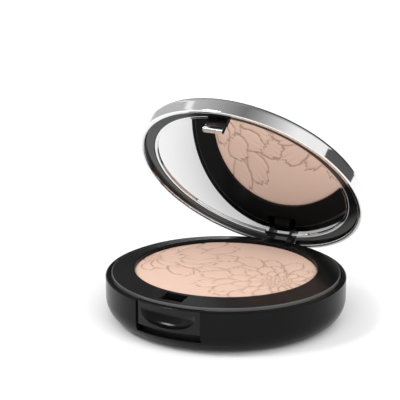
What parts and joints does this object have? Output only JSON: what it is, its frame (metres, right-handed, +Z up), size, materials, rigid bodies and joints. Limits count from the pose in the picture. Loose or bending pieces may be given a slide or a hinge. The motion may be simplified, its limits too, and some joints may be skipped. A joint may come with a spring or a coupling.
{
  "type": "powder compact",
  "caption": "Round powder compact with a black base, a pan of pressed powder, a push-button latch and a plated lid that holds a round mirror on a rear hinge.",
  "frame": {"origin": "centre of the resting face under the base", "axes": "+Z up, -Y towards the front with the button, +Y towards the hinge, +X to the right seen from the front; the lid rests half open"},
  "size_m": [0.078, 0.0838, 0.0725],
  "materials": {
    "satin_black": "satin black moulded plastic",
    "gloss_black": "gloss black moulded plastic",
    "plated_lid": "bright plated plastic, smooth",
    "plated_trim": "bright plated plastic",
    "mirror_glass": "silvered glass",
    "pressed_powder": "matte pressed powder, embossed",
    "pan_metal": "drawn sheet",
    "steel_pin": "drawn steel wire",
    "spring_wire": "spring wire",
    "guide_plastic": "acetal, natural black",
    "adhesive": "double-sided adhesive foam",
    "label_film": "blank matt film"
  },
  "bodies": {
    "base": {"case_ring": "satin_black", "base_tray": "satin_black", "hinge_block": "satin_black", "hinge_pin": "steel_pin", "deck_plate": "satin_black", "pan_adhesive": "adhesive", "powder_pan": "pan_metal", "pressed_powder": "pressed_powder", "base_label": "label_film", "button_guide": "guide_plastic", "button_spring_left": "spring_wire", "button_spring_right": "spring_wire"},
    "lid": {"lid_shell": "plated_lid", "lid_liner": "gloss_black", "mirror_bezel": "plated_trim", "mirror_glass": "mirror_glass", "mirror_tape": "adhesive", "latch_hook": "plated_trim"},
    "button": {"latch_button": "satin_black"}
  },
  "joints": [
    {"name": "lid_hinge", "type": "hinge", "parent": "base", "child": "lid", "pos_m": [0, 0.0367, 0.00993], "axis": [-1, 0, 0], "range_deg": [-47.9, 62.1]},
    {"name": "button_slide", "type": "slide", "parent": "base", "child": "button", "axis": [0, 1, 0], "range_m": [0, 0.0011], "stiffness_N_per_m": 900, "springref_m": -0.0008, "deforming": ["button_spring_left", "button_spring_right"]}
  ]
}
